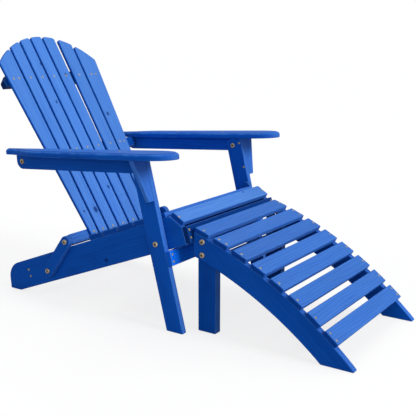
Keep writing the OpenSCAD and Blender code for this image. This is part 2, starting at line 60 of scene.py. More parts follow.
class Tree:
    """A material's node tree with short calls for the nodes used here."""

    def __init__(self, name):
        self.material = bpy.data.materials.new(name)
        self.material.use_nodes = True
        self.tree = self.material.node_tree
        self.tree.nodes.clear()
        self.output = self.tree.nodes.new("ShaderNodeOutputMaterial")
        self.shader = self.tree.nodes.new("ShaderNodeBsdfPrincipled")
        self.link(self.shader.outputs[0], self.output.inputs[0])

    def link(self, a, b):
        self.tree.links.new(a, b)

    def put(self, socket, value):
        if isinstance(value, bpy.types.NodeSocket):
            self.link(value, socket)
        elif value is not None:
            socket.default_value = value

    def attribute(self, name):
        node = self.tree.nodes.new("ShaderNodeAttribute")
        node.attribute_name = name
        return node

    def math(self, operation, a, b=None, clamp=False):
        node = self.tree.nodes.new("ShaderNodeMath")
        node.operation = operation
        node.use_clamp = clamp
        self.put(node.inputs[0], a)
        self.put(node.inputs[1], b)
        return node.outputs[0]

    def vector(self, operation, a, b=None):
        node = self.tree.nodes.new("ShaderNodeVectorMath")
        node.operation = operation
        self.put(node.inputs[0], a)
        self.put(node.inputs[1], b)
        return node.outputs["Value"] if operation in ("LENGTH", "DOT_PRODUCT") else node.outputs[0]

    def split(self, v):
        node = self.tree.nodes.new("ShaderNodeSeparateXYZ")
        self.put(node.inputs[0], v)
        return node.outputs

    def join(self, x, y, z):
        node = self.tree.nodes.new("ShaderNodeCombineXYZ")
        for socket, value in zip(node.inputs, (x, y, z)):
            self.put(socket, value)
        return node.outputs[0]

    def noise(self, v, scale=1.0, detail=2.0, roughness=0.5):
        node = self.tree.nodes.new("ShaderNodeTexNoise")
        self.put(node.inputs["Vector"], v)
        node.inputs["Scale"].default_value = scale
        node.inputs["Detail"].default_value = detail
        node.inputs["Roughness"].default_value = roughness
        return node.outputs[0]

    def ramp(self, v, low, high, to_low=0.0, to_high=1.0, smooth=True):
        node = self.tree.nodes.new("ShaderNodeMapRange")
        node.interpolation_type = "SMOOTHSTEP" if smooth else "LINEAR"
        self.put(node.inputs["Value"], v)
        limits = {"From Min": low, "From Max": high, "To Min": to_low, "To Max": to_high}
        for key, value in limits.items():
            self.put(node.inputs[key], value)
        return node.outputs[0]

    def mix(self, factor, a, b, blend="MIX"):
        node = self.tree.nodes.new("ShaderNodeMix")
        node.data_type = "RGBA"
        node.blend_type = blend
        self.put(node.inputs[0], factor)
        self.put(node.inputs[6], a)
        self.put(node.inputs[7], b)
        return node.outputs[2]

    def bump(self, height, distance, strength=1.0):
        node = self.tree.nodes.new("ShaderNodeBump")
        node.inputs["Strength"].default_value = strength
        node.inputs["Distance"].default_value = distance
        self.put(node.inputs["Height"], height)
        self.link(node.outputs[0], self.shader.inputs["Normal"])


def rgb(r, g, b):
    """Linear colour of an sRGB colour given as 0 to 255."""
    def lin(c):
        c /= 255
        return c / 12.92 if c <= 0.04045 else ((c + 0.055) / 1.055) ** 2.4
    return (lin(r), lin(g), lin(b), 1.0)


# ---------------------------------------------------------------- materials

# Blue paint from its darkest to its palest, then where it is thick over a knot and rubbed, then a pale
# painted highlight for faces turned to the key light
PAINT = ((0.0008, 0.028, 0.23, 1), (0.0018, 0.072, 0.42, 1), (0.003, 0.094, 0.5, 1))
KNOT = (0.001, 0.014, 0.09, 1)
RUBBED = (0.05, 0.22, 0.66, 1)
# Pale painted highlight: stands in for the satin paint's shine on faces lit by the key light
PAINTED_HIGHLIGHT_COLOUR = (0.105, 0.275, 0.68, 1)
# Near black painted into screw crosses and bolt sockets as shade
RECESS_SHADE = (0.02, 0.014, 0.01, 1)
PAINT_ROUGHNESS = 0.46
RINGS_ACROSS, RINGS_THROUGH = 95.0, 60.0     # growth rings in a metre of board
END_RINGS, PITH_AWAY = 160.0, 0.05           # rings in a metre of board end, and the pith's distance
FIBRES = 640.0                               # wood fibres' noise across a metre
KNOT_FALL = -0.22


def growth_rings(t, across, through, wander, bulge):
    """Dark late wood of the growth rings, bent round the knots."""
    rings = t.math("MULTIPLY", across, RINGS_ACROSS)
    rings = t.math("ADD", rings, t.math("MULTIPLY", through, RINGS_THROUGH))
    rings = t.math("ADD", rings, t.math("MULTIPLY", wander, 5.5))
    rings = t.math("ADD", rings, t.math("MULTIPLY", bulge, 1.7))
    saw = t.math("FRACT", rings)
    return t.math("MULTIPLY", t.ramp(saw, 0.15, 0.86), t.ramp(saw, 0.9, 1.0, 1.0, 0.0))


def end_rings(t, across, through):
    """Growth rings as arcs on the board's ends, round a pith just outside the board."""
    from_pith = t.vector("LENGTH", t.join(0.0, t.math("ADD", across, PITH_AWAY), through))
    return t.ramp(t.math("FRACT", t.math("MULTIPLY", from_pith, END_RINGS)), 0.3, 0.95)


def knot_bulge(t, knots):
    """How far the grain swells round the knots: a bell curve of the distance in knot radii."""
    bells = []
    for k in knots:
        fall = t.math("MULTIPLY", t.math("POWER", k, 2.0), KNOT_FALL)
        bells.append(t.math("POWER", 2.718, fall))
    return t.math("ADD", *bells)


def painted_wood():
    """Blue paint on softwood: growth lines, fibres, knots, darker end grain, rubbed places and painted
    highlight.
    It reads these attributes: grain is the place along, across and through the board in metres; knot_a and
    knot_b are places measured from a knot in knot radii; the brightness is the paint's shade with painted
    shade and light; edge and end mark its edges and ends; the highlight amount pales faces lit by the key
    light."""
    t = Tree("blue_painted_wood")
    grain = t.attribute("grain").outputs["Vector"]
    tone, edge, fade, end = (t.attribute(n).outputs["Fac"] for n in ("tone", "edge", "fade", "end"))
    knots = [t.vector("LENGTH", t.attribute(n).outputs["Vector"]) for n in ("knot_a", "knot_b")]
    along, across, through = t.split(grain)

    def stretched(scale, detail, roughness=0.5):
        return t.noise(t.vector("MULTIPLY", grain, scale), 1.0, detail, roughness)

    wander = stretched((2.6, 9.0, 9.0), 2.0)
    bulge = knot_bulge(t, knots)
    late = growth_rings(t, across, through, wander, bulge)
    fibre_across = t.math("ADD", t.math("MULTIPLY", across, FIBRES), t.math("MULTIPLY", bulge, 6.0))
    fibre_at = t.join(t.math("MULTIPLY", along, 16.0), fibre_across, t.math("MULTIPLY", through, FIBRES))
    fibre = t.noise(fibre_at, 1.0, 3.0, 0.6)
    streak = stretched((4.0, 110.0, 110.0), 3.0, 0.6)
    cloud = stretched((5.0, 16.0, 16.0), 3.0, 0.55)
    pits = t.ramp(stretched((120.0, 1500.0, 1500.0), 1.0), 0.66, 0.78)
    core = t.math("MAXIMUM", *[t.ramp(k, 0.55, 1.15, 1.0, 0.0) for k in knots])
    halo = t.math("MAXIMUM", *[t.ramp(k, 0.9, 2.6, 1.0, 0.0) for k in knots])

    deep, mid, pale = PAINT
    fine = t.math("MULTIPLY", t.ramp(fibre, 0.35, 0.7, smooth=False), 0.25)
    coarse = t.math("MULTIPLY", t.ramp(streak, 0.35, 0.68, smooth=False), 0.4)
    depth = t.math("ADD", t.math("ADD", t.math("MULTIPLY", late, 0.45), fine), coarse)
    end_depth = t.math("ADD", 0.35, t.math("MULTIPLY", end_rings(t, across, through), 0.3))
    colour = t.mix(depth, pale, mid)
    colour = t.mix(t.math("MULTIPLY", t.ramp(cloud, 0.4, 0.75), 0.3), colour, deep)
    colour = t.mix(t.math("MULTIPLY", halo, 0.35), colour, deep)
    colour = t.mix(t.math("MULTIPLY", core, 0.82), colour, KNOT)
    colour = t.mix(t.math("MULTIPLY", pits, 0.25), colour, deep)
    colour = t.mix(t.math("MULTIPLY", end, end_depth), colour, deep)
    rub = t.math("MULTIPLY", edge, t.ramp(stretched((30.0, 30.0, 30.0), 3.0), 0.4, 0.62))
    colour = t.mix(t.math("MULTIPLY", rub, 0.45), colour, RUBBED)
    # Painted highlight: faces turned to the key light are paled, in streaks, less over knots
    fade = t.math("MULTIPLY", fade, t.math("SUBTRACT", 1.0, t.math("MULTIPLY", core, 0.8)))
    highlight_strength = t.math("ADD", 0.9, t.math("SUBTRACT", streak, 0.5))
    highlight_strength = t.math("SUBTRACT", highlight_strength, t.math("MULTIPLY", depth, 0.3))
    colour = t.mix(t.math("MULTIPLY", fade, highlight_strength, clamp=True), colour, PAINTED_HIGHLIGHT_COLOUR)
    # Brightness of the board: a random spread of its paint's shade, times a looks value that is partly
    # painted shade and light
    colour = t.mix(1.0, colour, t.join(tone, tone, tone), "MULTIPLY")
    t.link(colour, t.shader.inputs["Base Color"])

    rough = t.math("ADD", PAINT_ROUGHNESS, t.math("MULTIPLY", t.math("SUBTRACT", fibre, 0.5), 0.16))
    rough = t.math("ADD", rough, t.math("MULTIPLY", t.math("SUBTRACT", cloud, 0.5), 0.14))
    rough = t.math("ADD", rough, t.math("MULTIPLY", end, 0.16))
    rough = t.math("SUBTRACT", rough, t.math("MULTIPLY", core, 0.08), clamp=True)
    t.link(rough, t.shader.inputs["Roughness"])
    height = t.math("ADD", t.math("MULTIPLY", late, 0.55), t.math("MULTIPLY", fibre, 0.5))
    height = t.math("ADD", height, t.math("MULTIPLY", core, -0.8))
    height = t.math("ADD", height, t.math("MULTIPLY", pits, -0.6))
    t.bump(height, 0.35 * MM, 0.8)
    t.shader.inputs["Specular IOR Level"].default_value = 0.04
    return t.material


def plated_metal(name, light, dark, rough):
    """Plated steel: cloudy plating, dull spots and painted shade darkening the recesses."""
    t = Tree(name)
    at = t.tree.nodes.new("ShaderNodeTexCoord").outputs["Object"]
    cloud = t.noise(at, 260.0, 3.0)
    spots = t.ramp(t.noise(at, 900.0, 2.0), 0.55, 0.7)
    colour = t.mix(t.ramp(cloud, 0.35, 0.65), light, dark)
    colour = t.mix(t.math("MULTIPLY", spots, 0.45), colour, tuple(0.35 * c for c in dark[:3]) + (1.0,))
    # Painted shade: the cross recesses and hex sockets are darkened almost to black
    recess = t.attribute("recess").outputs["Fac"]
    colour = t.mix(t.math("MULTIPLY", recess, 0.9), colour, RECESS_SHADE)
    t.link(colour, t.shader.inputs["Base Color"])
    t.shader.inputs["Metallic"].default_value = 0.4
    t.link(t.math("ADD", rough, t.math("MULTIPLY", spots, 0.25)), t.shader.inputs["Roughness"])
    t.bump(t.math("ADD", cloud, t.math("MULTIPLY", spots, -0.5)), 0.00008, 0.6)
    return t.material


WOOD = painted_wood()
SCREW = plated_metal("yellow_zinc", rgb(214, 194, 96), rgb(150, 132, 58), 0.42)
BOLT = plated_metal("antique_plated_steel", rgb(206, 190, 160), rgb(140, 122, 96), 0.36)


# ---------------------------------------------------------------- reading a CAD board

def islands(mesh):
    """The separate solids of a CAD node's mesh, as welded bmeshes. Faces keep the order of the CAD
    mesh, so that every run makes the same meshes."""
    whole = bmesh.new()
    whole.from_mesh(mesh)
    bmesh.ops.remove_doubles(whole, verts=whole.verts, dist=1e-6)
    whole.verts.index_update()
    whole.faces.index_update()
    seen, groups = set(), []
    for v in whole.verts:
        if v.index in seen:
            continue
        stack, group = [v], []
        seen.add(v.index)
        while stack:
            w = stack.pop()
            group.append(w)
            for e in w.link_edges:
                o = e.other_vert(w)
                if o.index not in seen:
                    seen.add(o.index)
                    stack.append(o)
        groups.append(group)
    parts = []
    for group in groups:
        part = bmesh.new()
        new = {v: part.verts.new(v.co) for v in group}
        for f in sorted({f for v in group for f in v.link_faces}, key=lambda f: f.index):
            part.faces.new([new[v] for v in f.verts])
        part.normal_update()
        parts.append(part)
    whole.free()
    return parts


FLAT_WITHIN = 0.02 * MM


def broad_normal(part, sign_from):
    """The normal of the board's broad faces, turned towards sign_from."""
    totals = []
    for f in sorted(part.faces, key=lambda f: -f.calc_area()):
        a, n = f.calc_area(), f.normal
        for entry in totals:
            side = entry[0].normalized().dot(n)
            if abs(side) > 0.999:
                entry[0] += n * math.copysign(a, side)
                break
        else:
            totals.append([n * a])
    n = max(totals, key=lambda e: e[0].length)[0].normalized()
    return n if n.dot(sign_from) > 0 else -n


def outer_outline(part, n):
    """The outer loop of the board's face that looks along n, counter-clockwise seen from n."""
    top = max(v.co.dot(n) for v in part.verts)
    faces = [f for f in part.faces if all(abs(v.co.dot(n) - top) < FLAT_WITHIN for v in f.verts)]
    inside = set(faces)
    follow = {}
    for f in faces:
        for loop in f.loops:
            if sum(g in inside for g in loop.edge.link_faces) == 1:
                follow[loop.vert] = loop.link_loop_next.vert
    best, best_area = None, 0
    while follow:
        start, v = next(iter(follow.items()))
        loop = [start]
        del follow[start]
        while v is not start:
            loop.append(v)
            v = follow.pop(v)
        points = [p.co.copy() for p in loop]
        area = sum((points[i - 1].cross(points[i]) for i in range(len(points))), Vector()).dot(n)
        if area > best_area:
            best, best_area = points, area
    return best, top


def frame_of(points, n, along=None):
    """The board's own axes: along its longest edge unless given, across it, and n."""
    if along is None:
        edges = [points[i] - points[i - 1] for i in range(len(points))]
        along = max(edges, key=lambda e: e.length)
    along = (along - along.dot(n) * n).normalized()
    if (along.x, along.y, along.z) < (0, 0, 0):
        along = -along
    return along, n.cross(along), n


# ---------------------------------------------------------------- making a board

def turn(a, b):
    return math.atan2(a.x * b.y - a.y * b.x, a.dot(b))


def eased_outline(points, radius, steps=3, corner=math.radians(22)):
    """An outline of 2-D points with its corners rounded, as (point, outward normal) pairs."""
    clean = []
    for i, p in enumerate(points):
        a, b = p - points[i - 1], points[(i + 1) % len(points)] - p
        if abs(turn(a, b)) > math.radians(0.05):
            clean.append(p)
    out = []
    count = len(clean)
    for i, p in enumerate(clean):
        before, after = p - clean[i - 1], clean[(i + 1) % count] - p
        a, b = before.normalized(), after.normalized()
        na, nb = Vector((a.y, -a.x)), Vector((b.y, -b.x))
        angle = turn(a, b)
        if abs(angle) < corner:
            out.append((p, (na + nb).normalized()))
            continue
        r = min(radius, 0.42 * min(before.length, after.length) / abs(math.tan(angle / 2)))
        reach = r * abs(math.tan(angle / 2))
        side = 1 if angle > 0 else -1
        centre = p - a * reach - na * r * side
        for k in range(steps + 1):
            m = (Matrix.Rotation(angle * k / steps, 2) @ na)
            out.append((centre + m * r * side, m))
    return out


def round_profile(thickness, top, bottom, step=0.0, parts=3):
    """Board edge from its lower face to its upper one, as (inset, height, normal angle below, above)."""
    rows = []
    for k in range(parts + 1):
        f = math.radians(-90 + 90 * k / parts)
        rows.append([bottom * (1 - math.cos(f)), bottom * (1 + math.sin(f)), f, f])
    for k in range(parts + 1):
        f = math.radians(90 * k / parts)
        rows.append([top * (1 - math.cos(f)), thickness - step - top * (1 - math.sin(f)), f, f])
    if step:
        rows[-1][3] = 0.0
        rows.append([top + 0.25 * step, thickness, 0.0, math.pi / 2])
    return rows


def board_mesh(outline, profile, origin, axes):
    """Vertices, faces, loop normals and edge marks of a board with a rounded rim."""
    along, across, n = axes
    count = len(outline)
    verts, faces, normals = [], [], []

    def place(p, h):
        return origin + along * p.x + across * p.y + n * h

    def normal(m, f):
        return (along * m.x + across * m.y) * math.cos(f) + n * math.sin(f)

    for inset, height, _, _ in profile:
        verts += [place(p - m * inset, height) for p, m in outline]
    for k in range(len(profile) - 1):
        f0, f1 = profile[k][3], profile[k + 1][2]
        for i in range(count):
            j = (i + 1) % count
            faces.append([k * count + i, k * count + j, (k + 1) * count + j, (k + 1) * count + i])
            mi, mj = outline[i][1], outline[j][1]
            normals += [normal(mi, f0), normal(mj, f0), normal(mj, f1), normal(mi, f1)]
    last = (len(profile) - 1) * count
    faces.append([last + i for i in range(count)])
    normals += [n] * count
    faces.append([i for i in reversed(range(count))])
    normals += [-n] * count
    marks = [math.sin(2 * abs(row[2])) ** 2 for row in profile for _ in range(count)]
    return verts, faces, normals, marks


def flip_if_needed(verts, faces, normals):
    """Faces wound so that their geometric normal agrees with the wanted one."""
    total = Vector()
    ring = [verts[i] for i in faces[-2]]
    for i in range(len(ring)):
        total += ring[i - 1].cross(ring[i])
    if total.dot(normals[-len(faces[-1]) - 1]) > 0:
        return faces, normals
    out, at = [], 0
    new = []
    for f in faces:
        new += list(reversed(normals[at:at + len(f)]))
        out.append(list(reversed(f)))
        at += len(f)
    return out, new


ATTRIBUTES = ("grain", "knot_a", "knot_b", "tone", "edge", "end", "fade", "recess")


class Piece:
    """Collects the solids of one new piece and its attributes, then makes the object."""

    def __init__(self, name):
        self.name = name
        self.verts, self.faces, self.normals = [], [], []
        self.data = {name: [] for name in ATTRIBUTES}

    def add(self, verts, faces, normals, **values):
        base = len(self.verts)
        self.verts += verts
        self.faces += [[base + i for i in f] for f in faces]
        self.normals += normals
        for key, column in values.items():
            self.data[key] += column

    def finish(self, material):
        mesh = bpy.data.meshes.new(self.name)
        mesh.from_pydata(self.verts, [], self.faces)
        for key, column in self.data.items():
            if not column:
                continue
            kind = "FLOAT_VECTOR" if isinstance(column[0], Vector) else "FLOAT"
            attribute = mesh.attributes.new(key, kind, "POINT")
            if kind == "FLOAT_VECTOR":
                attribute.data.foreach_set("vector", [c for v in column for c in v])
            else:
                attribute.data.foreach_set("value", column)
        mesh.polygons.foreach_set("use_smooth", [True] * len(mesh.polygons))
        if self.normals:
            mesh.normals_split_custom_set([tuple(v) for v in self.normals])
        mesh.materials.append(material)
        mesh.validate(clean_customdata=False)
        obj = bpy.data.objects.new(self.name, mesh)
        bpy.context.scene.collection.objects.link(obj)
        return obj


NO_KNOT = Vector((60.0, 60.0, 0.0))          # a place far out of any knot's reach
KNOT_STRETCH = 1.35                          # a knot's length along the grain over its width
RIM_HIGHLIGHT_FRONT, RIM_HIGHLIGHT_TOP = 0.5, 0.3      # painted highlight on the edges that face forwards and up, towards the key light
EASE = 2.2 * MM                              # rounding of a board's edges, unless its looks say otherwise
GUSSET_EASE = 2.0 * MM
GUSSET_FLAT = 4e-4                           # area in square metres above which a gusset's face isn't an edge
GRAIN_SPREAD = 40                            # each board's grain starts at a random place in this range


def board_values(verts, axes, origin, marks, tone, knots, shift):
    """The attributes of one board's vertices.
    A knot is (along, across, radius), in metres from the board's middle."""
    local = [Vector([(v - origin).dot(axis) for axis in axes]) for v in verts]
    values = {
        "grain": [p + shift for p in local],
        "tone": [tone] * len(verts),
        "edge": marks,
        "end": [],
    }
    for name, i in (("knot_a", 0), ("knot_b", 1)):
        if i < len(knots):
            kx, ky, r = knots[i]
            values[name] = [Vector(((p.x - kx) / (KNOT_STRETCH * r), (p.y - ky) / r, 0)) for p in local]
        else:
            values[name] = [NO_KNOT] * len(verts)
    return values


def grain_start():
    return Vector([random.uniform(0, GRAIN_SPREAD) for _ in range(3)])


def outward(part):
    """A direction out of the chair's side, forwards and up, for boards with no face of their own to show."""
    side = -0.8 if sum(v.co.y for v in part.verts) < 0 else 0.8
    return Vector((0.3, side, 0.55))


def make_board(node, looks):
    """A board with the CAD node's exact outline, eased edges, grain and knots, standing for the node."""
    piece = Piece(node + "_wood")
    for part in islands(frame["nodes"][node].data):
        n = broad_normal(part, looks.get("facing", outward(part)))
        points, top = outer_outline(part, n)
        axes = frame_of(points, n, looks.get("along"))
        along, across, _ = axes
        low = min(v.co.dot(n) for v in part.verts)
        flat = [Vector((p.dot(along), p.dot(across))) for p in points]
        middle = (Vector((min(p.x for p in flat), min(p.y for p in flat)))
                  + Vector((max(p.x for p in flat), max(p.y for p in flat)))) / 2
        flat = [p - middle for p in flat]
        origin = along * middle.x + across * middle.y + n * low
        radius = looks.get("ease", EASE)
        outline = eased_outline(flat, 1.3 * radius)
        profile = round_profile(top - low, looks.get("top", radius), radius,
                                looks.get("step", 0.0), looks.get("parts", 3))
        verts, faces, normals, marks = board_mesh(outline, profile, origin, axes)
        faces, normals = flip_if_needed(verts, faces, normals)
        shift = grain_start()
        # A random spread of the paint's shade, times the looks value, which is partly painted shade and light
        tone = looks.get("tone", 1.0) * random.uniform(0.93, 1.05)
        values = board_values(verts, axes, origin, marks, tone, looks.get("knots", []), shift)
        rims = [m for _, m in outline]
        values["end"] = [max(0.0, math.cos(row[2])) * abs(m.x) ** 6 for row in profile for m in rims]
        facing = [(along * m.x + across * m.y) * math.cos(row[2]) + n * math.sin(row[2])
                  for row in profile for m in rims]
        # Painted highlight on the rims, strongest where they face forwards and up towards the key light; the
        # broad face takes the board's own amount
        values["fade"] = [RIM_HIGHLIGHT_FRONT * max(0.0, f.x) ** 2 + RIM_HIGHLIGHT_TOP * max(0.0, f.z) ** 2
                          for f in facing]
        broad = slice(-len(outline), None)
        values["fade"][broad] = [looks.get("fade", 0.0)] * len(outline)
        piece.add(verts, faces, normals, **values)
        part.free()
    obj = piece.finish(WOOD)
    attach(obj, node)
    return obj


def attach(obj, node):
    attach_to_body(obj, body_of[node])
    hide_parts(node)


def make_gusset(node, looks):
    """A tapered bracket: the convex hull of the CAD solid with bevelled edges."""
    part = islands(frame["nodes"][node].data)[0]
    bmesh.ops.dissolve_limit(part, angle_limit=math.radians(1), verts=part.verts, edges=part.edges)
    hull = bmesh.new()
    for v in part.verts:
        hull.verts.new(v.co)
    bmesh.ops.convex_hull(hull, input=hull.verts)
    loose = [v for v in hull.verts if not v.link_faces]
    bmesh.ops.delete(hull, geom=loose, context="VERTS")
    bmesh.ops.dissolve_limit(hull, angle_limit=math.radians(1), verts=hull.verts, edges=hull.edges)
    bmesh.ops.recalc_face_normals(hull, faces=hull.faces)
    n = broad_normal(hull, X)
    big = max(hull.faces, key=lambda f: f.calc_area())
    points = [v.co.copy() for v in big.verts]
    axes = frame_of(points, n, looks.get("along"))
    bmesh.ops.bevel(hull, geom=hull.edges[:], offset=looks.get("ease", GUSSET_EASE), segments=3,
                    profile=0.5, affect="EDGES", clamp_overlap=True)
    hull.verts.index_update()
    origin = sum((v.co for v in hull.verts), Vector()) / len(hull.verts)
    verts = [v.co.copy() for v in hull.verts]
    faces = [[v.index for v in f.verts] for f in hull.faces]
    flatness = [max(f.calc_area() for f in v.link_faces) for v in hull.verts]
    marks = [0.0 if a > GUSSET_FLAT else 1.0 for a in flatness]
    piece = Piece(node + "_wood")
    values = board_values(verts, axes, origin, marks, looks.get("tone", 1.0), looks.get("knots", []),
                          grain_start())
    values["end"] = [0.0] * len(verts)
    # Painted highlight, even over the whole bracket
    values["fade"] = [looks.get("fade", 0.0)] * len(verts)
    piece.add(verts, faces, [], **values)
    obj = piece.finish(WOOD)
    for p in obj.data.polygons:
        p.use_smooth = True
    weighted = obj.modifiers.new("even shading", "WEIGHTED_NORMAL")
    weighted.weight = 100
    part.free()
    hull.free()
    attach(obj, node)
    return obj


# ---------------------------------------------------------------- fasteners

SCREW_HEAD_R, SCREW_SHANK_R, SCREW_TIP_R = 3.7 * MM, 1.8 * MM, 0.3 * MM
SCREW_HEAD_H, SCREW_TIP_LENGTH, SCREW_PROUD = 3.0 * MM, 4.0 * MM, 0.5 * MM
CROSS_ARM, CROSS_HALF_WIDTH, CROSS_DEPTH = 1.9 * MM, 0.42 * MM, 1.1 * MM
SCREW_SIDES = 24
BOLT_HEAD_R, BOLT_HEAD_H, BOLT_SHANK_R = 8.5 * MM, 4.5 * MM, 4.0 * MM
BOLT_DOME, BOLT_DOME_REACH, BOLT_RIM = 2.0 * MM, 2.2 * MM, 0.3 * MM
SOCKET_FLAT_R, SOCKET_R, SOCKET_DEPTH = 5.0 * MM, 3.9 * MM, 2.4 * MM
BOLT_SIDES = 36


def screw_frame(part):
    """A screw's head centre, outward axis and length, from its CAD solid: the end with fewer points
    close by is the tip."""
    points = [v.co for v in part.verts]
    middle = sum(points, Vector()) / len(points)
    first = max(points, key=lambda p: (p - middle).length)
    second = max(points, key=lambda p: (p - first).length)
    crowd = [sum(1 for q in points if (q - p).length < 6 * MM) for p in (first, second)]
    point = first if crowd[0] < crowd[1] else second
    ring = [q for q in points if (q - point).length > 0.8 * max((r - point).length for r in points)]
    head = sum(ring, Vector()) / len(ring)
    axis = (head - point).normalized()
    rim = max(points, key=lambda p: (p - point - axis * (p - point).dot(axis)).length)
    return point + axis * (rim - point).dot(axis), axis, (rim - point).dot(axis)


def make_screws(node):
    """Countersunk screws with a cross recess, one for each CAD screw, sharing one piece."""
    piece = Piece(node + "_cross")
    for part in islands(frame["nodes"][node].data):
        centre, axis, length = screw_frame(part)
        u = axis.orthogonal().normalized()
        u = Matrix.Rotation(random.uniform(0, math.pi), 3, axis) @ u
        v = axis.cross(u)
        verts, faces = [], []

        def ring(points, h):
            start = len(verts)
            verts.extend(centre + u * p[0] + v * p[1] + axis * h for p in points)
            return list(range(start, len(verts)))

        def circle(r):
            angles = [2 * math.pi * (k + 0.5) / SCREW_SIDES for k in range(SCREW_SIDES)]
            return [(r * math.cos(a), r * math.sin(a)) for a in angles]

        cross = []
        for q in range(4):
            c, s = math.cos(q * math.pi / 2), math.sin(q * math.pi / 2)
            for x, y in ((CROSS_ARM, -CROSS_HALF_WIDTH), (CROSS_ARM, CROSS_HALF_WIDTH),
                         (CROSS_HALF_WIDTH, CROSS_HALF_WIDTH)):
                cross.append((x * c - y * s, x * s + y * c))
        tip = ring(circle(SCREW_TIP_R), -length)
        rows = [tip,
                ring(circle(SCREW_SHANK_R), SCREW_TIP_LENGTH - length),
                ring(circle(SCREW_SHANK_R), -SCREW_HEAD_H),
                ring(circle(SCREW_HEAD_R), -0.05 * MM),
                ring(circle(SCREW_HEAD_R - 0.25 * MM), 0.28 * MM),
                ring(circle(SCREW_HEAD_R - 1.0 * MM), SCREW_PROUD)]
        for a, b in zip(rows, rows[1:]):
            for i in range(SCREW_SIDES):
                j = (i + 1) % SCREW_SIDES
                faces.append([a[i], a[j], b[j], b[i]])
        faces.append(list(reversed(tip)))
        outer = rows[-1]
        rim = ring(cross, SCREW_PROUD)
        low = ring([(x * 0.8, y * 0.8) for x, y in cross], -CROSS_DEPTH)
        for i in range(len(cross)):
            j = (i + 1) % len(cross)
            near = [outer[(2 * i + k - 2) % SCREW_SIDES] for k in range(3)]
            faces.append(near + [rim[j], rim[i]])
            faces.append([rim[i], rim[j], low[j], low[i]])
        faces.append(low)
        # Marks the floor of the cross recess for painted shade
        recess = [1.0 if i in low else 0.0 for i in range(len(verts))]
        piece.add(verts, faces, [], recess=recess)
        part.free()
    obj = piece.finish(SCREW)
    finish_metal(obj)
    attach(obj, node)
    return obj


def make_bolts(node):
    """Pivot bolts along Y with low domed heads and hexagon sockets, one for each CAD bolt."""
    piece = Piece(node + "_hex")
    for part in islands(frame["nodes"][node].data):
        points = [v.co for v in part.verts]
        low, high = ([f(p[k] for p in points) for k in range(3)] for f in (min, max))
        cx, cz = (low[0] + high[0]) / 2, (low[2] + high[2]) / 2
        verts, faces, recess = [], [], []

        def ring(r, y, n=BOLT_SIDES, deep=0.0):
            start = len(verts)
            for k in range(n):
                a = 2 * math.pi * k / n
                verts.append(Vector((cx + r * math.cos(a), y, cz + r * math.sin(a))))
            recess.extend([deep] * n)
            return list(range(start, start + n))

        def join(a, b):
            for i in range(len(a)):
                j = (i + 1) % len(a)
                faces.append([a[i], a[j], b[j], b[i]])

        def end(y, side):
            """Closes one end of the shank, with a head if the CAD bolt has one there."""
            wide = any(abs(p.y - y) < BOLT_HEAD_H and math.hypot(p.x - cx, p.z - cz) > 0.7 * BOLT_HEAD_R
                       for p in points)
            if not wide:
                last = ring(BOLT_SHANK_R, y)
                faces.append(last)
                return last
            under = y - side * BOLT_HEAD_H
            shank = ring(BOLT_SHANK_R, under)
            rows = [shank, ring(BOLT_HEAD_R - BOLT_RIM, under), ring(BOLT_HEAD_R, under + side * BOLT_RIM)]
            for degrees in range(0, 91, 15):
                a = math.radians(degrees)
                r = BOLT_HEAD_R - BOLT_DOME_REACH * (1 - math.cos(a))
                rows.append(ring(r, y - side * BOLT_DOME * (1 - math.sin(a))))
            rows.append(ring(SOCKET_FLAT_R, y))
            for a, b in zip(rows, rows[1:]):
                join(a, b)
            outer, rim = rows[-1], ring(SOCKET_R, y - side * 0.1 * MM, 6)
            step = BOLT_SIDES // 6
            for i in range(6):
                face = [outer[(step * i + k) % BOLT_SIDES] for k in range(step + 1)]
                faces.append(face + [rim[(i + 1) % 6], rim[i]])
            # The socket's wall and floor are marked for painted shade
            wall = ring(SOCKET_R - 0.1 * MM, y - side * 0.3 * MM, 6, 0.7)
            floor_ring = ring(SOCKET_R - 0.3 * MM, y - side * SOCKET_DEPTH, 6, 1.0)
            join(rim, wall)
            join(wall, floor_ring)
            faces.append(floor_ring)
            return shank

        join(end(low[1], -1), end(high[1], 1))
        piece.add(verts, faces, [], recess=recess)
        part.free()
    obj = piece.finish(BOLT)
    finish_metal(obj)
    attach(obj, node)
    return obj


SHARP = math.radians(35)


def finish_metal(obj):
    """Turns every face outwards and keeps the edges of heads and recesses crisp."""
    work = bmesh.new()
    work.from_mesh(obj.data)
    bmesh.ops.recalc_face_normals(work, faces=work.faces)
    work.to_mesh(obj.data)
    work.free()
    obj.data.set_sharp_from_angle(angle=SHARP)


# ---------------------------------------------------------------- the pieces

behaviour = frame["record"]["behaviour"]
body_of = {n: b for b, nodes in behaviour["bodies"].items() for n in nodes}

